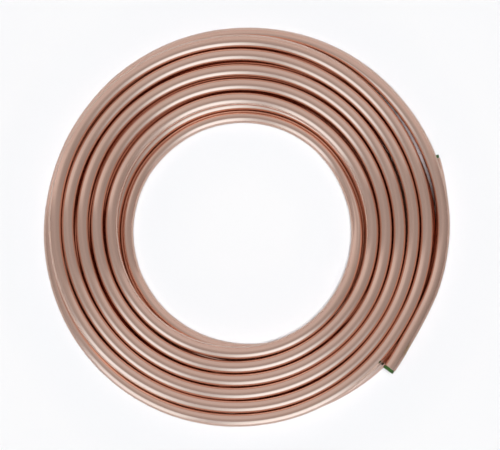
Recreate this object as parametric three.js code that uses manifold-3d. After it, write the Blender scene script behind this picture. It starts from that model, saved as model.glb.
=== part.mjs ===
// A coil of soft copper tube: one long tube wound flat in two layers, both
// ends on the outside, each end closed with a green plastic plug.
// Millimetres, +Z up. The coil lies flat; the origin is under the middle of
// its bounding box, at the floor.

import * as THREE from 'three';
import { mergeVertices } from 'three/addons/utils/BufferGeometryUtils.js';
import Module from 'manifold-3d';

const wasm = await Module();
wasm.setup();

// ---------------------------------------------------------------- dimensions
const TUBE_OD = 15.875;                 // 5/8 in tube
const TUBE_WALL = 1.245;                // 0.049 in wall
const LAYERS_HEIGHT = 2 * TUBE_OD;      // two layers, one lying on the other

const COIL_X = -1.757;                  // axis of the wound body
const COIL_Y = -3.845;
const EYE_R = 132.5;                    // radius of the eye of the coil
const TOP_R = 234.4;                    // outside of the upper layer
const LOW_R = 236.0;                    // outside of the lower layer
const RIDGES = 6;                       // turns across each layer
const ROUND = 48;                       // facets round the coil

const BORE_DEPTH = 26;                  // open length behind each plug
const GAP = 0.3;                        // between a plug and the tube
const PLUG_FLANGE_D = 14.8;
const PLUG_FLANGE_T = 4.0;
const PLUG_STEM_D = TUBE_OD - 2 * TUBE_WALL - 2 * GAP;
const PLUG_STEM_L = 16;

const R = TUBE_OD / 2;
const LOW_Z = R;                        // tube axis in the lower layer
const TOP_Z = 3 * R;                    // tube axis in the upper layer
const level = (t) => LOW_Z + t * (TOP_Z - LOW_Z);

// Outermost turn of the upper layer: [angle, radius, height] of the tube axis
// about the coil axis. It starts at its plugged end, standing off the coil
// as a nearly straight tail, drops into the lower layer round the back and
// climbs out again before it tucks in as the next turn.
const TOP_TURN = [
  [-43.6, 246.3, level(1)], [-38, 242.7, level(1)], [-30, 240.1, level(1)],
  [-20, 241.4, level(1)], [-10, 243.0, level(1)], [0, 244.5, level(1)],
  [12, 245.1, level(1)], [24, 244.7, level(1)], [36, 244.2, level(0.99)],
  [46, 244.2, level(0.87)], [54, 244.3, level(0.58)], [62, 244.2, level(0.29)],
  [72, 243.7, level(0.09)], [84, 242.6, level(0)], [100, 241.6, level(0)],
  [120, 241.0, level(0)], [140, 240.2, level(0)], [160, 239.6, level(0)],
  [180, 240.8, level(0)], [196, 241.6, level(0.03)], [208, 242.0, level(0.19)],
  [220, 241.8, level(0.35)], [234, 240.7, level(0.53)], [248, 238.6, level(0.78)],
  [262, 235.8, level(0.98)], [276, 233.1, level(1)], [290, 230.5, level(1)],
  [304, 228.1, level(1)], [318, 225.7, level(1)], [332, 224.0, level(1)],
];

// Outer end of the lower layer, from its plugged end back into the coil.
const LOW_TURN = [
  [20.5, 249.0, LOW_Z], [12, 246.5, LOW_Z], [0, 243.2, LOW_Z],
  [-14, 239.7, LOW_Z], [-30, 236.3, LOW_Z], [-46, 233.2, LOW_Z],
  [-62, 231.0, LOW_Z], [-80, 229.4, LOW_Z], [-96, 228.3, LOW_Z],
];

// ------------------------------------------------------------------- helpers
const deg = Math.PI / 180;

const at = ([a, r, z]) =>
  new THREE.Vector3(COIL_X + r * Math.cos(a * deg), COIL_Y + r * Math.sin(a * deg), z);

function toSolid(geometry) {
  const g = geometry.index ? geometry.clone() : geometry;
  g.deleteAttribute('normal');
  g.deleteAttribute('uv');
  const m = mergeVertices(g, 1e-4);
  return new wasm.Manifold(new wasm.Mesh({
    numProp: 3,
    vertProperties: new Float32Array(m.attributes.position.array),
    triVerts: new Uint32Array(m.index.array),
  }));
}

// Back to a three.js geometry, keeping the outer skin and leaving out any
// closed pocket shut in between neighbouring turns.
function toGeometry(solid) {
  const mesh = solid.getMesh();
  const pos = mesh.vertProperties;
  const tri = mesh.triVerts;
  const parent = Array.from({ length: pos.length / 3 }, (_, i) => i);
  const find = (i) => { while (parent[i] !== i) i = parent[i] = parent[parent[i]]; return i; };
  for (let t = 0; t < tri.length; t += 3) {
    parent[find(tri[t])] = find(tri[t + 1]);
    parent[find(tri[t + 1])] = find(tri[t + 2]);
  }
  const volume = new Map();
  const v = [new THREE.Vector3(), new THREE.Vector3(), new THREE.Vector3()];
  for (let t = 0; t < tri.length; t += 3) {
    for (let k = 0; k < 3; k++) v[k].fromArray(pos, 3 * tri[t + k]);
    const s = find(tri[t]);
    volume.set(s, (volume.get(s) || 0) + v[0].dot(v[1].clone().cross(v[2])) / 6);
  }
  const index = [];
  for (let t = 0; t < tri.length; t += 3)
    if (volume.get(find(tri[t])) > 1) index.push(tri[t], tri[t + 1], tri[t + 2]);
  const g = new THREE.BufferGeometry();
  g.setAttribute('position', new THREE.BufferAttribute(new Float32Array(pos), 3));
  g.setIndex(index);
  g.computeVertexNormals();
  return g;
}

const circle = (r, n) => {
  const s = new THREE.Shape();
  for (let i = 0; i < n; i++) {
    const a = (2 * Math.PI * (i + 0.5)) / n;
    if (i === 0) s.moveTo(r * Math.cos(a), r * Math.sin(a));
    else s.lineTo(r * Math.cos(a), r * Math.sin(a));
  }
  s.closePath();
  return s;
};

// --------------------------------------------------------- the wound body
// Turned profile, radius and height: a ridge for each turn on the two flat
// ends, and one for each layer on the outside and in the eye. The lower
// ridges are flattened a little where they rest.
function woundProfile() {
  const p = [];
  const add = (r, z) => p.push(new THREE.Vector2(r, z));
  const crest = 0.268 * R;
  const lowPitch = (LOW_R - EYE_R - 2 * R) / (RIDGES - 1);
  const topPitch = (TOP_R - EYE_R - 2 * R) / (RIDGES - 1);
  // underside, from the eye outwards
  for (let i = 0; i < RIDGES; i++) {
    const c = EYE_R + R + i * lowPitch;
    if (i === 0) add(c - 0.732 * R, crest);
    add(c - crest, 0);
    add(c + crest, 0);
    if (i < RIDGES - 1) add(c + lowPitch / 2, 0.78 * R);
    else add(c + 0.732 * R, crest);
  }
  // outside, upwards
  add(LOW_R, 0.732 * R);
  add(LOW_R, 1.268 * R);
  add(LOW_R - crest, 1.732 * R);
  add(TOP_R - 0.62 * R, 2 * R);
  add(TOP_R - crest, 2.268 * R);
  add(TOP_R, 2.732 * R);
  add(TOP_R, 3.268 * R);
  // top, inwards
  for (let i = RIDGES - 1; i >= 0; i--) {
    const c = EYE_R + R + i * topPitch;
    add(c + 0.732 * R, 4 * R - crest);
    add(c + crest, 4 * R);
    add(c - crest, 4 * R);
    add(c - 0.732 * R, 4 * R - crest);
    if (i > 0) add(c - topPitch / 2, 4 * R - 0.85 * R);
  }
  // eye, downwards
  add(EYE_R, 3.268 * R);
  add(EYE_R, 2.732 * R);
  add(EYE_R + crest, 2.268 * R);
  add(EYE_R + 0.6 * R, 2 * R);
  add(EYE_R + crest, 1.732 * R);
  add(EYE_R, 1.268 * R);
  add(EYE_R, 0.732 * R);
  p.push(p[0].clone());
  return p;
}

function woundBody() {
  const g = new THREE.LatheGeometry(woundProfile(), ROUND);
  g.rotateX(Math.PI / 2);                       // turned about Y, stood on Z
  g.translate(COIL_X, COIL_Y, 0);
  const solid = toSolid(g);
  if (solid.volume() > 0) return solid;
  throw new Error('wound body is inside out');
}

// ----------------------------------------------------------- tube runs
// A smooth tube axis that never leaves the two layers.
class RunCurve extends THREE.Curve {
  constructor(points) {
    super();
    this.spline = new THREE.CatmullRomCurve3(points.map(at), false, 'centripetal');
  }
  getPoint(t, target = new THREE.Vector3()) {
    const p = this.spline.getPoint(t, target);
    p.z = Math.min(TOP_Z, Math.max(LOW_Z, p.z));
    return p;
  }
}

function tubeRun(points, steps) {
  const path = new RunCurve(points);
  return {
    path,
    solid: toSolid(new THREE.ExtrudeGeometry(circle(R, 12), {
      steps, bevelEnabled: false, extrudePath: path,
    })),
  };
}

// Solid of revolution about its own Z, laid at the open end of a run so that
// +Z points out of the tube's mouth.
function atMouth(geometry, path) {
  const out = path.getTangent(0).negate();
  geometry.applyQuaternion(
    new THREE.Quaternion().setFromUnitVectors(new THREE.Vector3(0, 0, 1), out));
  const mouth = path.getPoint(0);
  geometry.translate(mouth.x, mouth.y, mouth.z);
  return geometry;
}

function turnedZ(profile, facets) {
  const g = new THREE.LatheGeometry(profile.map(([r, z]) => new THREE.Vector2(r, z)), facets);
  g.rotateX(Math.PI / 2);                       // +Y of the lathe becomes +Z
  return g;
}

const topRun = tubeRun(TOP_TURN, 66);
const lowRun = tubeRun(LOW_TURN, 20);

const boreR = R - TUBE_WALL;
const bore = () => turnedZ([[0, -BORE_DEPTH], [boreR, -BORE_DEPTH], [boreR, 5], [0, 5]], 16);

const coil = woundBody()
  .add(topRun.solid)
  .add(lowRun.solid)
  .subtract(toSolid(atMouth(bore(), topRun.path)))
  .subtract(toSolid(atMouth(bore(), lowRun.path)));

// ------------------------------------------------------------- end plugs
// A tapered stem pressed into the bore and a flat flange over the tube end.
function plugGeometry(path) {
  const sr = PLUG_STEM_D / 2;
  const fr = PLUG_FLANGE_D / 2;
  return atMouth(turnedZ([
    [0, -PLUG_STEM_L], [sr - 0.8, -PLUG_STEM_L], [sr, -2.5], [sr, GAP],
    [fr, GAP], [fr, GAP + PLUG_FLANGE_T - 0.5], [fr - 0.5, GAP + PLUG_FLANGE_T],
    [0, GAP + PLUG_FLANGE_T],
  ], 20), path);
}

// --------------------------------------------------------------- the group
const copper = () => new THREE.MeshStandardMaterial({
  color: 0xc39a86, roughness: 0.3, metalness: 1.0,
});
const greenPlastic = () => new THREE.MeshStandardMaterial({
  color: 0x2f5f2a, roughness: 0.5, metalness: 0.0,
});

const group = new THREE.Group();

const named = (name, geometry, material) => {
  const m = new THREE.Mesh(geometry, material);
  m.name = name;
  group.add(m);
  return m;
};

named('tube_coil', toGeometry(coil), copper());
named('end_plug_top', plugGeometry(topRun.path), greenPlastic());
named('end_plug_lower', plugGeometry(lowRun.path), greenPlastic());

export default group;
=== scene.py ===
import math
import bpy
import numpy as np
from mathutils import Matrix, Vector


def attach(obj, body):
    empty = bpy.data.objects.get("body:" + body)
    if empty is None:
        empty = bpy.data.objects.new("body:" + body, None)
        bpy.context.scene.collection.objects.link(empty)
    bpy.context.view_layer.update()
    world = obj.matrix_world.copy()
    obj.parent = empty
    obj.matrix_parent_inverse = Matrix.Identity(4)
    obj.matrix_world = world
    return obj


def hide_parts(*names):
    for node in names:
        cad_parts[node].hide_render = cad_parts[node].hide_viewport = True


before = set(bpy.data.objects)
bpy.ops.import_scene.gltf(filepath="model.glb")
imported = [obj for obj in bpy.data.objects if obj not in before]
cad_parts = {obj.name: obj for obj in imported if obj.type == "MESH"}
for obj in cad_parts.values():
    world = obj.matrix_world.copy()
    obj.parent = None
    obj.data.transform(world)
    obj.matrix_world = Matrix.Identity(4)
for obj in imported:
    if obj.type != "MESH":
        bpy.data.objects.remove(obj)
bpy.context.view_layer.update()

# ------------------------------------------------------------------ sizes, mm
OD = 15.875
WALL = 1.245
R = OD / 2
LOW_Z, TOP_Z = R, 3 * R
COIL_X, COIL_Y = -1.757, -3.845
MM = 0.001

# The run of the tube from its upper plugged end to its lower one: angle about
# the coil axis in degrees, radius in mm, and level, 1 in the upper layer and
# 0 in the lower one.
ROUTE = [
    (-43.6, 246.26, 1), (-40.3, 244.24, 1), (-35.2, 241.19, 1), (-30, 240.12, 1),
    (-24.9, 240.22, 1), (-19.9, 241.38, 1), (-14.9, 242.35, 1), (-10, 242.99, 1),
    (-5, 243.68, 1), (0, 244.5, 1), (6, 244.99, 1), (12, 245.11, 1), (18, 244.9, 1),
    (25, 244.68, 1), (32, 244.42, 1), (40, 244.12, 0.96), (48, 244.22, 0.82),
    (54, 244.32, 0.58), (60, 244.3, 0.35), (66, 244.03, 0.19), (72, 243.66, 0.09),
    (78, 243.13, 0.03), (84, 242.57, 0), (92, 241.99, 0), (100, 241.62, 0), (110, 241.36, 0),
    (120, 240.97, 0), (130, 240.89, 0), (140, 240.15, 0), (150, 239.84, 0), (160, 239.6, 0),
    (170, 239.84, 0), (180, 240.79, 0), (190, 241.29, 0), (198, 241.69, 0.05),
    (205, 241.95, 0.15), (212, 242.08, 0.25), (218, 241.95, 0.33), (224, 241.57, 0.4),
    (230, 241.16, 0.48), (236, 240.45, 0.56), (242, 239.5, 0.66), (248, 238.58, 0.78),
    (255, 237.15, 0.91), (262, 235.83, 0.98), (270, 234.22, 1), (278, 232.8, 1),
    (285, 231.59, 1), (292, 230.12, 1), (300, 228.77, 1), (308, 227.38, 1), (315, 226.22, 1),
    (322, 225.07, 1), (330, 224.01, 1), (337.5, 224.13, 1), (345, 224.19, 1),
    (352.5, 224.41, 1), (360, 224.64, 1), (367.5, 224.86, 1), (375, 225.06, 1),
    (382.5, 225.39, 1), (390, 225.9, 1), (397.5, 226.58, 1), (405, 227.39, 1),
    (412.5, 228.35, 1), (420, 229.41, 1), (427.5, 230.49, 1), (435, 231.51, 1),
    (442.5, 232.4, 1), (450, 233.07, 1), (457.5, 233.56, 1), (465, 234.02, 1),
    (472.5, 234.61, 1), (480, 235.33, 1), (487.5, 236.03, 1), (495, 236.53, 1),
    (502.5, 236.75, 1), (510, 236.75, 1), (517.5, 236.51, 1), (525, 235.97, 1),
    (532.5, 235.16, 1), (540, 234.26, 1), (547.5, 233.45, 1), (555, 232.68, 1),
    (562.5, 231.82, 1), (570, 230.76, 1), (577.5, 229.48, 1), (585, 227.9, 1),
    (592.5, 226.11, 1), (600, 224.29, 1), (607.5, 222.54, 1), (615, 220.85, 1),
    (622.5, 219.3, 1), (630, 217.93, 1), (637.5, 216.63, 1), (645, 215.31, 1), (652.5, 214, 1),
    (660, 212.67, 1), (667.5, 211.33, 1), (675, 210.06, 1), (682.5, 209.03, 1),
    (690, 208.26, 1), (697.5, 207.77, 1), (705, 207.51, 1), (712.5, 207.58, 1),
    (720, 207.84, 1), (727.5, 208.2, 1), (735, 208.53, 1), (742.5, 208.83, 1), (750, 209.14, 1),
    (757.5, 209.58, 1), (765, 210.23, 1), (772.5, 211.03, 1), (780, 211.92, 1),
    (787.5, 212.94, 1), (795, 214.1, 1), (802.5, 215.24, 1), (810, 216.23, 1),
    (817.5, 216.98, 1), (825, 217.53, 1), (832.5, 217.96, 1), (840, 218.37, 1),
    (847.5, 218.77, 1), (855, 219.17, 1), (862.5, 219.57, 1), (870, 219.9, 1),
    (877.5, 220.05, 1), (885, 219.85, 1), (892.5, 219.27, 1), (900, 218.38, 1),
    (907.5, 217.26, 1), (915, 216.06, 1), (922.5, 214.81, 1), (930, 213.57, 1),
    (937.5, 212.33, 1), (945, 211.12, 1), (952.5, 209.86, 1), (960, 208.39, 1),
    (967.5, 206.7, 1), (975, 204.97, 1), (982.5, 203.25, 1), (990, 201.51, 1),
    (997.5, 199.8, 1), (1005, 198.21, 1), (1012.5, 196.83, 1), (1020, 195.67, 1),
    (1027.5, 194.7, 1), (1035, 193.85, 1), (1042.5, 193.1, 1), (1050, 192.44, 1),
    (1057.5, 191.84, 1), (1065, 191.31, 1), (1072.5, 190.87, 1), (1080, 190.62, 1),
    (1087.5, 190.54, 1), (1095, 190.61, 1), (1102.5, 190.85, 1), (1110, 191.32, 1),
    (1117.5, 192.05, 1), (1125, 192.96, 1), (1132.5, 193.91, 1), (1140, 194.82, 1),
    (1147.5, 195.61, 1), (1155, 196.24, 1), (1162.5, 196.78, 1), (1170, 197.41, 1),
    (1177.5, 198.16, 1), (1185, 198.97, 1), (1192.5, 199.73, 1), (1200, 200.5, 1),
    (1207.5, 201.29, 1), (1215, 202.03, 1), (1222.5, 202.58, 1), (1230, 202.75, 1),
    (1237.5, 202.48, 1), (1245, 201.97, 1), (1252.5, 201.36, 1), (1260, 200.6, 1),
    (1267.5, 199.63, 1), (1275, 198.61, 1), (1282.5, 197.72, 1), (1290, 196.89, 1),
    (1297.5, 195.95, 1), (1305, 194.78, 1), (1312.5, 193.35, 1), (1320, 191.75, 1),
    (1327.5, 190.06, 1), (1335, 188.32, 1), (1342.5, 186.59, 1), (1350, 184.95, 1),
    (1357.5, 183.43, 1), (1365, 182.08, 1), (1372.5, 180.88, 1), (1380, 179.8, 1),
    (1387.5, 178.83, 1), (1395, 177.94, 1), (1402.5, 177.11, 1), (1410, 176.28, 1),
    (1417.5, 175.43, 1), (1425, 174.65, 1), (1432.5, 174.05, 1), (1440, 173.69, 1),
    (1447.5, 173.54, 1), (1455, 173.6, 1), (1462.5, 173.89, 1), (1470, 174.39, 1),
    (1477.5, 175.01, 1), (1485, 175.71, 1), (1492.5, 176.45, 1), (1500, 177.19, 1),
    (1507.5, 177.91, 1), (1515, 178.54, 1), (1522.5, 179.04, 1), (1530, 179.57, 1),
    (1537.5, 180.24, 1), (1545, 180.97, 1), (1552.5, 181.68, 1), (1560, 182.39, 1),
    (1567.5, 183.15, 1), (1575, 183.85, 1), (1582.5, 184.38, 1), (1590, 184.61, 1),
    (1597.5, 184.48, 1), (1605, 184.02, 1), (1612.5, 183.32, 1), (1620, 182.46, 1),
    (1627.5, 181.5, 1), (1635, 180.57, 1), (1642.5, 179.73, 1), (1650, 178.87, 1),
    (1657.5, 177.91, 1), (1665, 176.91, 1), (1672.5, 175.85, 1), (1680, 174.65, 1),
    (1687.5, 173.25, 1), (1695, 171.71, 1), (1702.5, 170.08, 1), (1710, 168.46, 1),
    (1717.5, 166.93, 1), (1725, 165.51, 1), (1732.5, 164.18, 1), (1740, 162.93, 1),
    (1747.5, 161.76, 1), (1755, 160.72, 1), (1762.5, 159.88, 1), (1770, 159.19, 1),
    (1777.5, 158.54, 1), (1785, 157.94, 1), (1792.5, 157.45, 1), (1800, 157.03, 1),
    (1807.5, 156.68, 1), (1815, 156.44, 1), (1822.5, 156.4, 1), (1830, 156.55, 1),
    (1837.5, 156.8, 1), (1845, 157.19, 1), (1852.5, 157.77, 1), (1860, 158.53, 1),
    (1867.5, 159.42, 1), (1875, 160.36, 1), (1882.5, 161.23, 1), (1890, 162.01, 1),
    (1897.5, 162.74, 1), (1905, 163.38, 1), (1912.5, 163.86, 1), (1920, 164.26, 1),
    (1927.5, 164.82, 1), (1935, 165.46, 1), (1942.5, 165.96, 1), (1950, 166.1, 1),
    (1957.5, 166.06, 1), (1965, 165.87, 1), (1972.5, 165.36, 1), (1980, 164.55, 1),
    (1987.5, 163.81, 1), (1995, 163.29, 1), (2002.5, 162.7, 1), (2010, 161.84, 1),
    (2017.5, 160.77, 1), (2025, 159.6, 1), (2032.5, 158.34, 1), (2040, 156.96, 1),
    (2047.5, 155.51, 1), (2055, 154.03, 1), (2062.5, 152.6, 1), (2070, 151.31, 1),
    (2077.5, 150.17, 1), (2085, 149.06, 1), (2092.5, 147.93, 1), (2100, 146.84, 1),
    (2107.5, 145.66, 0.996), (2115, 144.34, 0.985), (2122.5, 142.99, 0.927),
    (2130, 141.81, 0.87), (2137.5, 140.87, 0.765), (2145, 140.1, 0.66), (2152.5, 139.48, 0.54),
    (2160, 138.98, 0.42), (2167.5, 138.49, 0.31), (2175, 137.97, 0.2), (2182.5, 137.62, 0.125),
    (2190, 137.67, 0.05), (2197.5, 138.03, 0.013), (2205, 138.47, 0), (2212.5, 138.87, 0),
    (2220, 139.21, 0), (2227.5, 139.48, 0), (2235, 139.7, 0), (2242.5, 139.94, 0),
    (2250, 140.25, 0), (2257.5, 140.61, 0), (2265, 140.98, 0), (2272.5, 141.34, 0),
    (2280, 141.66, 0), (2287.5, 141.97, 0), (2295, 142.46, 0), (2302.5, 143.24, 0),
    (2310, 144.02, 0), (2317.5, 144.54, 0), (2325, 144.93, 0), (2332.5, 145.42, 0),
    (2340, 145.97, 0), (2355, 146.46, 0), (2362, 146.71, 0), (2370, 146.74, 0),
    (2378, 146.81, 0), (2385, 146.96, 0), (2392, 146.96, 0), (2400, 147.08, 0),
    (2415, 147.57, 0), (2430, 148.56, 0), (2445, 150.16, 0), (2460, 151.3, 0),
    (2490, 153.19, 0), (2505, 154.07, 0), (2520, 153.7, 0), (2550, 153.53, 0),
    (2580, 155.09, 0), (2610, 156.12, 0), (2640, 157.54, 0), (2670, 159.9, 0), (2685, 160.8, 0),
    (2700, 161.85, 0), (2730, 162.61, 0), (2760, 162.96, 0), (2775, 163.45, 0),
    (2790, 164.43, 0), (2805, 166.04, 0), (2820, 167.18, 0), (2850, 169.06, 0),
    (2865, 169.99, 0), (2880, 170.74, 0), (2910, 171.5, 0), (2940, 172.23, 0),
    (2970, 173.66, 0), (3000, 175.31, 0), (3030, 176.34, 0), (3045, 176.56, 0),
    (3060, 177.61, 0), (3090, 178.69, 0), (3120, 178.83, 0), (3135, 179.32, 0),
    (3150, 180.31, 0), (3165, 181.91, 0), (3180, 183.05, 0), (3210, 184.94, 0),
    (3225, 186.4, 0), (3240, 187.52, 0), (3270, 187.79, 0), (3300, 188.28, 0),
    (3330, 189.71, 0), (3360, 191.23, 0), (3390, 192.21, 0), (3405, 192.32, 0),
    (3420, 193.38, 0), (3450, 194.56, 0), (3480, 194.71, 0), (3495, 195.2, 0),
    (3510, 196.18, 0), (3525, 197.79, 0), (3540, 198.93, 0), (3570, 202.5, 0),
    (3585, 207.07, 0), (3600, 211.26, 0), (3610, 211.87, 0), (3620, 210.39, 0),
    (3630, 208.42, 0), (3660, 206.08, 0), (3690, 205.87, 0), (3720, 207.11, 0),
    (3750, 208.09, 0), (3765, 208.08, 0), (3780, 209.14, 0), (3810, 210.44, 0),
    (3840, 210.58, 0), (3855, 211.07, 0), (3870, 212.06, 0), (3885, 213.66, 0),
    (3900, 214.8, 0), (3930, 220.13, 0), (3945, 223.33, 0), (3960, 227.4, 0), (3970, 227.89, 0),
    (3980, 226.42, 0), (3990, 224.57, 0), (4005, 223.33, 0), (4020, 222.35, 0),
    (4035, 222.1, 0), (4050, 222.04, 0), (4080, 222.98, 0), (4110, 223.96, 0),
    (4125, 223.84, 0), (4140, 224.91, 0), (4170, 226.31, 0), (4200, 226.46, 0),
    (4215, 226.95, 0), (4230, 227.93, 0), (4245, 229.54, 0), (4260, 231.16, 0),
    (4290, 236.33, 0), (4305, 239.52, 0), (4320, 243.19, 0), (4332, 246.49, 0),
    (4340.5, 249.05, 0),
]

# The studio, in light seen from the coil: walls, overhead, the panel behind,
# and paler patches and softboxes as azimuth, half width, edge, slant of the
# top edge, its edge, strength.
WALLS = 0.337
OVERHEAD = 0.065
BEHIND = 0.24
PALE = [
    (180.0, 24.0, 8.0, 5.0, 8.0, 0.04),
    (0.0, 9.0, 6.0, 5.0, 8.0, 0.03),
    (164.0, 8.0, 4.0, 6.0, 8.0, 0.06),
]
SOFTBOXES = [
    (232.0, 17.0, 9.0, 32.0, 14.0, 0.90),
    (286.0, 17.0, 9.0, 29.0, 14.0, 1.07),
    (258.0, 12.0, 8.0, 30.0, 14.0, 0.34),
    (207.0, 10.0, 7.0, 38.0, 14.0, 0.10),
    (313.0, 11.0, 7.0, 36.0, 14.0, 0.24),
]
COOL = (0.72, 1.0, 1.16)

# ------------------------------------------------------------------- the path
def natural_spline(x, y):
    """Second derivatives of a natural cubic spline."""
    n = len(x)
    h = np.diff(x)
    a = np.zeros((n, n))
    b = np.zeros(n)
    a[0, 0] = a[-1, -1] = 1.0
    for i in range(1, n - 1):
        a[i, i - 1], a[i, i], a[i, i + 1] = h[i - 1], 2 * (h[i - 1] + h[i]), h[i]
        b[i] = 6 * ((y[i + 1] - y[i]) / h[i] - (y[i] - y[i - 1]) / h[i - 1])
    return np.linalg.solve(a, b)


def spline_at(x, y, m, q):
    k = np.clip(np.searchsorted(x, q) - 1, 0, len(x) - 2)
    h = x[k + 1] - x[k]
    u = (x[k + 1] - q) / h
    v = (q - x[k]) / h
    return (u * y[k] + v * y[k + 1]
            + ((u ** 3 - u) * m[k] + (v ** 3 - v) * m[k + 1]) * h * h / 6)


def monotone_at(x, y, q):
    """Monotone cubic, so the tube never leaves the two layers."""
    h = np.diff(x)
    d = np.diff(y) / h
    m = np.zeros(len(x))
    for i in range(1, len(x) - 1):
        if d[i - 1] * d[i] > 0:
            w1, w2 = 2 * h[i] + h[i - 1], h[i] + 2 * h[i - 1]
            m[i] = (w1 + w2) / (w1 / d[i - 1] + w2 / d[i])
    k = np.clip(np.searchsorted(x, q) - 1, 0, len(x) - 2)
    t = (q - x[k]) / h[k]
    return ((2 * t ** 3 - 3 * t ** 2 + 1) * y[k] + (t ** 3 - 2 * t ** 2 + t) * h[k] * m[k]
            + (3 * t ** 2 - 2 * t ** 3) * y[k + 1] + (t ** 3 - t ** 2) * h[k] * m[k + 1])


ra = np.array(ROUTE, dtype=float)
A, RR, LV = ra[:, 0], ra[:, 1], ra[:, 2]
M2 = natural_spline(A, RR)


def path(phi):
    phi = np.asarray(phi, dtype=float)
    r = spline_at(A, RR, M2, phi)
    z = LOW_Z + (TOP_Z - LOW_Z) * monotone_at(A, LV, phi)
    t = np.radians(phi)
    return np.stack([COIL_X + r * np.cos(t), COIL_Y + r * np.sin(t), z], axis=-1)


def even_path(step_deg):
    """Path points, their tangents and the run so far, in mm."""
    n = int(round((A[-1] - A[0]) / step_deg))
    phi = np.linspace(A[0], A[-1], n + 1)
    p = path(phi)
    e = 0.01
    lo = np.clip(phi - e, A[0], A[-1])
    hi = np.clip(phi + e, A[0], A[-1])
    t = path(hi) - path(lo)
    t /= np.linalg.norm(t, axis=1)[:, None]
    s = np.concatenate([[0], np.cumsum(np.linalg.norm(np.diff(p, axis=0), axis=1))])
    return phi, p, t, s


# --------------------------------------------------------------- mesh helpers
def new_object(name, verts, faces, smooth=True):
    me = bpy.data.meshes.new(name)
    me.from_pydata([tuple(v) for v in verts], [], faces)
    me.validate()
    if smooth:
        me.polygons.foreach_set("use_smooth", [True] * len(me.polygons))
    ob = bpy.data.objects.new(name, me)
    bpy.context.scene.collection.objects.link(ob)
    return ob


# -------------------------------------------------------------- the long tube
SIDES = 32
STEP = 2.5                               # degrees of coil for each ring


def build_tube():
    phi, p, t, s = even_path(STEP)
    up = np.array([0.0, 0.0, 1.0])
    side = np.cross(t, up)
    side /= np.linalg.norm(side, axis=1)[:, None]
    nrm = np.cross(side, t)
    ang = 2 * np.pi * np.arange(SIDES) / SIDES
    verts, skin, faces = [], [], []

    def ring(i, radius, along):
        c = p[i] + t[i] * along
        base = len(verts)
        for a in ang:
            d = side[i] * math.cos(a) + nrm[i] * math.sin(a)
            verts.append((c + d * radius) * MM)
            skin.append((math.cos(a), math.sin(a), (s[i] + along) * MM))
        return base

    def bridge(a, b):
        for k in range(SIDES):
            k2 = (k + 1) % SIDES
            faces.append((a + k, a + k2, b + k2, b + k))

    n = len(phi)
    ri = R - WALL
    # inside of the first mouth, its cut face, the outer skin, the last mouth
    chain = []
    for depth in (26.0, 12.0, 2.0, 0.25):
        chain.append(ring(0, ri, depth))
    chain.append(ring(0, ri + 0.12, 0.06))
    chain.append(ring(0, ri + 0.32, 0.0))
    chain.append(ring(0, R - 0.36, 0.0))
    chain.append(ring(0, R - 0.12, 0.08))
    for along in (0.36, 0.5, 1.0, 3.0):
        chain.append(ring(0, R, along))
    first_skin = len(chain)
    for i in range(1, n - 1):
        chain.append(ring(i, R, 0.0))
    e = n - 1
    for along in (3.0, 1.0, 0.5, 0.36):
        chain.append(ring(e, R, -along))
    chain.append(ring(e, R - 0.12, -0.08))
    chain.append(ring(e, R - 0.36, 0.0))
    chain.append(ring(e, ri + 0.32, 0.0))
    chain.append(ring(e, ri + 0.12, -0.06))
    for depth in (0.25, 2.0, 12.0, 26.0):
        chain.append(ring(e, ri, -depth))
    for a, b in zip(chain, chain[1:]):
        bridge(a, b)
    faces.append(tuple(chain[0] + k for k in range(SIDES)))
    faces.append(tuple(chain[-1] + k for k in reversed(range(SIDES))))
    ob = new_object("copper_tube", verts, faces)
    at = ob.data.attributes.new("skin", 'FLOAT_VECTOR', 'POINT')
    at.data.foreach_set("vector", np.array(skin, dtype=np.float32).ravel())
    # make all normals face out of the metal
    import bmesh
    bm = bmesh.new()
    bm.from_mesh(ob.data)
    bmesh.ops.recalc_face_normals(bm, faces=bm.faces)
    bm.to_mesh(ob.data)
    bm.free()
    return ob, p, t, s


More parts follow.
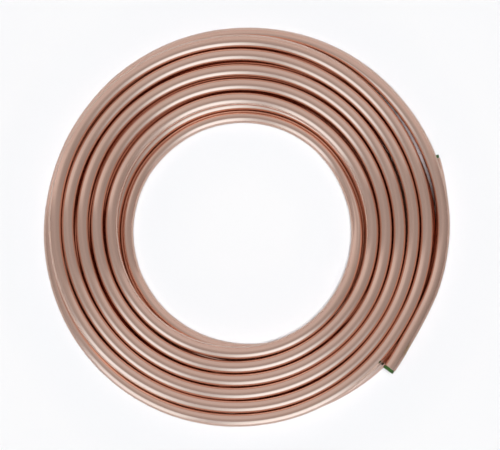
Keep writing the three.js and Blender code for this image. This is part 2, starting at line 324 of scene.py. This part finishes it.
# ---------------------------------------------------------------------- plugs
def build_plug(name, mouth, out):
    """A moulded plug: rounded flange, shallow dished face with a gate mark,
    tapered stem with two soft ribs. out points away from the tube."""
    gap = 0.3
    sr = R - WALL - 0.3
    prof = [                              # radius, height along out
        (0.0, -15.2), (sr - 1.6, -15.2), (sr - 1.1, -15.9), (sr - 0.75, -15.6),
        (sr - 0.7, -15.0), (sr - 0.35, -9.4), (sr - 0.28, -9.0), (sr - 0.02, -8.5),
        (sr - 0.02, -7.9), (sr - 0.25, -7.4), (sr - 0.12, -4.6), (sr + 0.0, -4.1),
        (sr + 0.0, -3.5), (sr - 0.1, -3.0), (sr - 0.05, gap - 0.05),
        (sr + 0.1, gap), (7.1, gap), (7.3, gap + 0.08), (7.4, gap + 0.28),
        (7.4, gap + 3.45), (7.32, gap + 3.75), (7.1, gap + 3.93), (6.8, gap + 4.0),
        (5.9, gap + 4.0), (5.6, gap + 3.85), (5.35, gap + 3.55), (4.6, gap + 3.48),
        (1.5, gap + 3.46), (1.3, gap + 3.58), (0.9, gap + 3.66), (0.0, gap + 3.68),
    ]
    seg = 48
    z = Vector(out)
    q = Vector((0, 0, 1)).rotation_difference(z)
    verts, faces, rings = [], [], []
    for r, h in prof:
        if r == 0.0:
            rings.append([len(verts)])
            verts.append((Vector(mouth) + q @ Vector((0, 0, h))) * MM)
            continue
        ids = []
        for k in range(seg):
            a = 2 * math.pi * k / seg
            ids.append(len(verts))
            verts.append((Vector(mouth) + q @ Vector((r * math.cos(a), r * math.sin(a), h))) * MM)
        rings.append(ids)
    for a, b in zip(rings, rings[1:]):
        for k in range(seg):
            k2 = (k + 1) % seg
            if len(a) == 1:
                faces.append((a[0], b[k2], b[k]))
            elif len(b) == 1:
                faces.append((a[k], a[k2], b[0]))
            else:
                faces.append((a[k], a[k2], b[k2], b[k]))
    ob = new_object(name, verts, faces)
    import bmesh
    bm = bmesh.new()
    bm.from_mesh(ob.data)
    bmesh.ops.recalc_face_normals(bm, faces=bm.faces)
    bm.to_mesh(ob.data)
    bm.free()
    return ob


# ------------------------------------------------------------------ materials
class Nodes:
    """Short hand for building a node tree."""

    def __init__(self, name):
        self.mat = bpy.data.materials.new(name)
        self.mat.use_nodes = True
        self.nt = self.mat.node_tree
        self.nt.nodes.clear()
        self.out = self.nt.nodes.new("ShaderNodeOutputMaterial")
        self.bsdf = self.nt.nodes.new("ShaderNodeBsdfPrincipled")
        self.link(self.bsdf.outputs[0], self.out.inputs["Surface"])

    def link(self, a, b):
        self.nt.links.new(a, b)

    def node(self, kind, **kw):
        n = self.nt.nodes.new(kind)
        for k, v in kw.items():
            setattr(n, k, v)
        return n

    def math(self, op, a, b=None, c=None, clamp=False):
        n = self.node("ShaderNodeMath", operation=op, use_clamp=clamp)
        for i, v in enumerate((a, b, c)):
            if v is None:
                continue
            if hasattr(v, "links"):
                self.link(v, n.inputs[i])
            else:
                n.inputs[i].default_value = v
        return n.outputs[0]

    def attr(self, name):
        return self.node("ShaderNodeAttribute", attribute_name=name).outputs["Vector"]

    def scaled(self, vec, xyz, shift=(0, 0, 0)):
        n = self.node("ShaderNodeMapping")
        n.inputs["Scale"].default_value = xyz
        n.inputs["Location"].default_value = shift
        self.link(vec, n.inputs["Vector"])
        return n.outputs[0]

    def noise(self, vec, scale, detail=2.0, rough=0.5, distort=0.0):
        n = self.node("ShaderNodeTexNoise")
        n.inputs["Scale"].default_value = scale
        n.inputs["Detail"].default_value = detail
        n.inputs["Roughness"].default_value = rough
        n.inputs["Distortion"].default_value = distort
        self.link(vec, n.inputs["Vector"])
        return n.outputs[0]

    def remap(self, v, a, b, c, d):
        n = self.node("ShaderNodeMapRange")
        n.inputs[1].default_value = a
        n.inputs[2].default_value = b
        n.inputs[3].default_value = c
        n.inputs[4].default_value = d
        self.link(v, n.inputs[0])
        return n.outputs[0]

    def mix(self, f, a, b):
        n = self.node("ShaderNodeMix", data_type='RGBA')
        for sock, v in ((n.inputs[0], f), (n.inputs[6], a), (n.inputs[7], b)):
            if hasattr(v, "links"):
                self.link(v, sock)
            elif isinstance(v, (int, float)):
                sock.default_value = v
            else:
                sock.default_value = (*v, 1.0)
        return n.outputs[2]


def copper_material():
    m = Nodes("copper")
    skin = m.attr("skin")
    obj = m.node("ShaderNodeTexCoord").outputs["Object"]
    # draw lines run along the tube: fine across, very long along
    fine = m.noise(m.scaled(skin, (26, 26, 1.2)), 1.0, 3.0, 0.6)
    mid = m.noise(m.scaled(skin, (7, 7, 0.6), (3.1, 1.7, 0.4)), 1.0, 2.0, 0.5)
    hair = m.noise(m.scaled(skin, (90, 90, 2.5), (5.3, 8.1, 0.0)), 1.0, 1.0, 0.5)
    cloud = m.noise(m.scaled(skin, (1.3, 1.3, 9), (9.0, 2.0, 5.0)), 1.0, 3.0, 0.55)
    broad = m.noise(m.scaled(obj, (9, 9, 9)), 1.0, 2.0, 0.5)
    # colour: bright drawn copper, a little browner where it has dulled
    base = m.mix(m.remap(cloud, 0.35, 0.7, 0.0, 1.0), (0.935, 0.635, 0.520), (0.910, 0.600, 0.480))
    base = m.mix(m.remap(fine, 0.42, 0.62, 0.0, 0.35), base, (0.885, 0.58, 0.465))
    base = m.mix(m.remap(broad, 0.5, 0.72, 0.0, 0.4), base, (0.915, 0.605, 0.485))
    # where it lies: across is 1 on the flank that faces away from the coil's
    # axis, up is 1 on top, run is metres of tube from the upper end
    part = m.node("ShaderNodeSeparateXYZ")
    m.link(skin, part.inputs[0])
    across, up, run = part.outputs

    def band(v, a, b, c, d):
        return m.math('MULTIPLY', m.remap(v, a, b, 0.0, 1.0), m.remap(v, c, d, 1.0, 0.0))

    # the tail's outer flank is darker and browner in patches
    patchy = m.remap(mid, 0.35, 0.6, 0.75, 1.0)
    tail_flank_dark = m.math('MULTIPLY', m.remap(across, 0.05, 0.75, 0.0, 1.0), m.remap(run, 0.10, 0.33, 1.0, 0.0))
    tail_flank_dark = m.math('MULTIPLY', tail_flank_dark, patchy)
    base = m.mix(tail_flank_dark, base, (0.62, 0.39, 0.305))
    # a darker band on the outer flank, 0.93 to 1.16 m from the upper end
    tail_flank_dark_band = m.math('MULTIPLY', m.remap(across, 0.2, 0.8, 0.0, 0.55), band(run, 0.93, 1.0, 1.08, 1.16))
    base = m.mix(tail_flank_dark_band, base, (0.62, 0.40, 0.32))
    # an olive spot on that flank
    spot = m.math('MULTIPLY', band(run, 0.019, 0.027, 0.034, 0.044), band(across, 0.48, 0.62, 0.86, 0.97))
    spot = m.math('MULTIPLY', spot, m.remap(fine, 0.35, 0.6, 0.4, 0.9))
    base = m.mix(spot, base, (0.36, 0.235, 0.105))
    # painted bounce light: the hidden lower turns are painted a redder copper on their tops, standing in for
    # the light that copper throws on copper deep in the lower layer
    deep = m.math('MULTIPLY', band(run, 9.35, 9.47, 13.85, 13.98), m.remap(up, 0.1, 0.6, 0.0, 1.0))
    base = m.mix(deep, base, (0.93, 0.36, 0.22))
    # painted bounce light: the top of the lower turn under the tail is painted redder, standing in for the
    # light the copper around it throws on it
    tail_turn_painted_bounce = m.math('MULTIPLY', band(run, 14.523, 14.531, 14.575, 14.605), m.remap(up, -0.2, 0.5, 0.0, 1.0))
    base = m.mix(tail_turn_painted_bounce, base, (0.66, 0.27, 0.165))
    m.link(base, m.bsdf.inputs["Base Color"])
    m.bsdf.inputs["Metallic"].default_value = 1.0
    # bright metal between hair-fine dull streaks
    ro = m.math('ADD', m.remap(cloud, 0.3, 0.7, 0.11, 0.15), m.remap(mid, 0.3, 0.7, -0.01, 0.02))
    ro = m.math('ADD', ro, m.remap(fine, 0.4, 0.65, 0.0, 0.02))
    ro = m.math('ADD', ro, m.remap(hair, 0.50, 0.60, 0.0, 0.10))
    ro = m.math('ADD', ro, m.math('MULTIPLY', m.math('MAXIMUM', spot, tail_turn_painted_bounce), 0.12))
    m.link(ro, m.bsdf.inputs["Roughness"])
    h = m.math('ADD', m.math('MULTIPLY', fine, 0.35), m.math('MULTIPLY', mid, 0.65))
    bump = m.node("ShaderNodeBump")
    bump.inputs["Strength"].default_value = 0.35
    bump.inputs["Distance"].default_value = 0.00006
    m.link(h, bump.inputs["Height"])
    m.link(bump.outputs[0], m.bsdf.inputs["Normal"])
    return m.mat


def plug_material():
    m = Nodes("plug_plastic")
    obj = m.node("ShaderNodeTexCoord").outputs["Object"]
    n1 = m.noise(m.scaled(obj, (180, 180, 180)), 1.0, 3.0, 0.5)
    n2 = m.noise(m.scaled(obj, (1400, 1400, 1400)), 1.0, 2.0, 0.5)
    base = m.mix(m.remap(n1, 0.35, 0.65, 0.0, 1.0), (0.034, 0.086, 0.016), (0.046, 0.110, 0.024))
    m.link(base, m.bsdf.inputs["Base Color"])
    m.link(m.remap(n1, 0.3, 0.7, 0.36, 0.5), m.bsdf.inputs["Roughness"])
    bump = m.node("ShaderNodeBump")
    bump.inputs["Strength"].default_value = 0.25
    bump.inputs["Distance"].default_value = 0.00008
    m.link(n2, bump.inputs["Height"])
    m.link(bump.outputs[0], m.bsdf.inputs["Normal"])
    return m.mat


def floor_material(name, value, shade=None):
    """Matt paper. shade is an inner and an outer radius in m round the coil's
    axis, where the paper is painted dark as shade, for it lies deep under the
    turns and gets hardly any light; close to the coil it is painted a little duller, to offset the light the
    copper throws on it."""
    m = Nodes(name)
    obj = m.node("ShaderNodeTexCoord").outputs["Object"]
    n = m.noise(m.scaled(obj, (3, 3, 3)), 1.0, 2.0, 0.5)
    base = m.mix(m.remap(n, 0.3, 0.7, 0.0, 1.0), (value, value, value * 1.01),
                 (value * 0.985, value * 0.985, value))
    if shade:
        flat = m.scaled(obj, (1, 1, 0), (-COIL_X * MM, -COIL_Y * MM, 0))
        away = m.node("ShaderNodeVectorMath", operation='LENGTH')
        m.link(flat, away.inputs[0])
        away = away.outputs["Value"]
        # painted shade: the paper near the coil is painted a little duller, to offset the light the copper
        # throws on it
        near = m.math('MULTIPLY', m.remap(away, 0.05, 0.128, 0.0, 1.0), m.remap(away, 0.254, 0.33, 1.0, 0.0))
        base = m.mix(near, base, (value * 0.935, value * 0.950, value * 0.975))
        # painted shade: the paper under the turns is painted nearly black
        under = m.math('MULTIPLY', m.remap(away, shade[0], shade[0] + 0.003, 0.0, 1.0),
                       m.remap(away, shade[1] - 0.003, shade[1], 1.0, 0.0))
        base = m.mix(under, base, (0.055, 0.020, 0.012))
        xyz = m.node("ShaderNodeSeparateXYZ")
        m.link(obj, xyz.inputs[0])
        # painted shade in the slot beside the outer turn: dark at one end, a shaded grey where it is open to a
        # little light
        slot = m.math('MULTIPLY', m.remap(away, shade[1] - 0.003, shade[1], 0.0, 1.0),
                      m.remap(away, 0.241, 0.243, 1.0, 0.0))
        slot = m.math('MULTIPLY', slot, m.remap(xyz.outputs[0], 0.14, 0.15, 0.0, 1.0))
        slot = m.math('MULTIPLY', slot, m.remap(xyz.outputs[1], -0.06, -0.05, 0.0, 1.0))
        dusk = m.mix(m.remap(xyz.outputs[1], 0.030, 0.085, 0.0, 1.0), (0.060, 0.022, 0.014), (0.50, 0.44, 0.45))
        base = m.mix(slot, base, dusk)
    m.link(base, m.bsdf.inputs["Base Color"])
    m.bsdf.inputs["Roughness"].default_value = 0.9
    m.bsdf.inputs["Specular IOR Level"].default_value = 0.1
    return m.mat


# --------------------------------------------------------------------- pieces
tube, P, T, S = build_tube()
tube.data.materials.append(copper_material())
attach(tube, "root")
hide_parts("tube_coil")

green = plug_material()
for name, node, mouth, out in (
        ("plug_top", "end_plug_top", P[0], -T[0]),
        ("plug_lower", "end_plug_lower", P[-1], T[-1])):
    plug = build_plug(name, mouth, out)
    plug.data.materials.append(green)
    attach(plug, "root")
    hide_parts(node)

# ---------------------------------------------------------------------- stage
def plane(name, size, z, mat):
    s = size / 2
    ob = new_object(name, [(-s, -s, z), (s, -s, z), (s, s, z), (-s, s, z)], [(0, 1, 2, 3)], False)
    ob.data.materials.append(mat)
    return ob


# The floor that is seen, white as paper, and a darker card in the same place
# for the copper to mirror.
floor = plane("studio_floor", 40.0, -0.0004, floor_material("studio_floor", 0.975, (0.1455, 0.231)))
floor.visible_glossy = False
floor.visible_shadow = False
card = plane("studio_card", 40.0, -0.0006, floor_material("studio_card", 0.60))
card.visible_camera = False
card.visible_diffuse = False
card.visible_transmission = False
card.visible_shadow = False

# --------------------------------------------------------------------- lights
# The studio is far off and soft: a broad pale panel behind, two softboxes in
# front, dimmer walls left and right. It is written as a sky, so every part of
# the coil sees the same light.
world = bpy.data.worlds.new("studio")
bpy.context.scene.world = world
world.use_nodes = True
wt = world.node_tree
wt.nodes.clear()


def wnode(kind, **kw):
    n = wt.nodes.new(kind)
    for k, v in kw.items():
        setattr(n, k, v)
    return n


def wmath(op, a, b=None, c=None, clamp=False):
    n = wnode("ShaderNodeMath", operation=op, use_clamp=clamp)
    for i, v in enumerate((a, b, c)):
        if v is None:
            continue
        if hasattr(v, "links"):
            wt.links.new(v, n.inputs[i])
        else:
            n.inputs[i].default_value = v
    return n.outputs[0]


def wstep(v, lo, hi):
    """Smooth rise from 0 at lo to 1 at hi; lo may be the larger."""
    n = wnode("ShaderNodeMapRange", interpolation_type='SMOOTHSTEP')
    flip = lo > hi
    n.inputs[1].default_value = hi if flip else lo
    n.inputs[2].default_value = lo if flip else hi
    n.inputs[3].default_value = 1.0 if flip else 0.0
    n.inputs[4].default_value = 0.0 if flip else 1.0
    wt.links.new(v, n.inputs[0])
    return n.outputs[0]


sky = wnode("ShaderNodeTexCoord").outputs["Generated"]
sep = wnode("ShaderNodeSeparateXYZ")
wt.links.new(sky, sep.inputs[0])
sx, sy, sz = sep.outputs
slant = wmath('MULTIPLY', wmath('ARCCOSINE', sz), 180 / math.pi)      # 0 overhead, 90 at the horizon
turn = wmath('MULTIPLY', wmath('ARCTAN2', sy, sx), 180 / math.pi)     # -180 to 180, 0 along +X


def off_azimuth(centre):
    """Degrees between the azimuth looked at and centre, 0 to 180."""
    d = wmath('SUBTRACT', turn, centre)
    d = wmath('WRAP', d, 180.0, -180.0)
    return wmath('ABSOLUTE', d)


def wmul(a, b):
    return wmath('MULTIPLY', a, b)


def wadd(a, b):
    return wmath('ADD', a, b)


total = wadd(WALLS, wmul(wstep(slant, 24.0, 2.0), OVERHEAD))
# broad panel behind
behind = wmul(wstep(off_azimuth(96.5), 80.0, 73.0), wstep(slant, 0.0, 30.0))
total = wadd(total, wmul(behind, BEHIND))


def patches(table, total):
    for centre, half, soft, top, blur, power in table:
        box = wmul(wstep(off_azimuth(centre), half + soft, half - soft),
                   wstep(slant, top - blur, top + blur))
        total = wadd(total, wmul(box, power))
    return total


total = patches(PALE, total)
boxes = patches(SOFTBOXES, 0.0)


def glow(colour, strength):
    n = wnode("ShaderNodeBackground")
    n.inputs[0].default_value = (*colour, 1.0)
    wt.links.new(strength, n.inputs[1])
    return n.outputs[0]


both = wnode("ShaderNodeAddShader")
wt.links.new(glow((1.0, 1.0, 1.01), total), both.inputs[0])
wt.links.new(glow(COOL, boxes), both.inputs[1])
wo = wnode("ShaderNodeOutputWorld")
wt.links.new(both.outputs[0], wo.inputs[0])
world.cycles_visibility.diffuse = False
world.cycles_visibility.camera = False

# What the camera sees past the floor in a low view: plain pale walls.
def walls(name, half):
    c = [(x, y, z) for z in (-half, half) for y in (-half, half) for x in (-half, half)]
    quads = [(0, 1, 3, 2), (4, 6, 7, 5), (0, 4, 5, 1), (2, 3, 7, 6), (0, 2, 6, 4), (1, 5, 7, 3)]
    mat = floor_material(name, 0.5)
    shader = mat.node_tree.nodes["Principled BSDF"]
    shader.inputs["Emission Color"].default_value = (0.86, 0.86, 0.875, 1.0)
    shader.inputs["Emission Strength"].default_value = 1.0
    ob = new_object(name, c, quads, False)
    ob.data.materials.append(mat)
    ob.visible_diffuse = False
    ob.visible_glossy = False
    ob.visible_transmission = False
    ob.visible_shadow = False


walls("studio_walls", 12.0)

sun = bpy.data.lights.new("overhead", 'SUN')
sun.energy = 3.12
sun.angle = math.radians(13)
so = bpy.data.objects.new("overhead", sun)
so.visible_glossy = False
bpy.context.scene.collection.objects.link(so)

# --------------------------------------------------------------------- camera
cam = bpy.data.cameras.new("camera")
cam.sensor_fit = 'HORIZONTAL'
cam.sensor_width = 36.0
PX = OD / 12.88                           # mm a pixel at the upper tube axes
DIST = 6000.0                             # mm above them, a long lens
cam.lens = 36.0 * DIST / (500 * PX)
co = bpy.data.objects.new("camera", cam)
co.location = ((COIL_X + 5 * PX) * MM, (COIL_Y + 5 * PX) * MM, (TOP_Z + DIST) * MM)
co.rotation_euler = (0, 0, 0)
bpy.context.scene.collection.objects.link(co)
bpy.context.scene.camera = co

bpy.context.scene.view_settings.view_transform = 'Standard'
bpy.context.scene.view_settings.look = 'None'
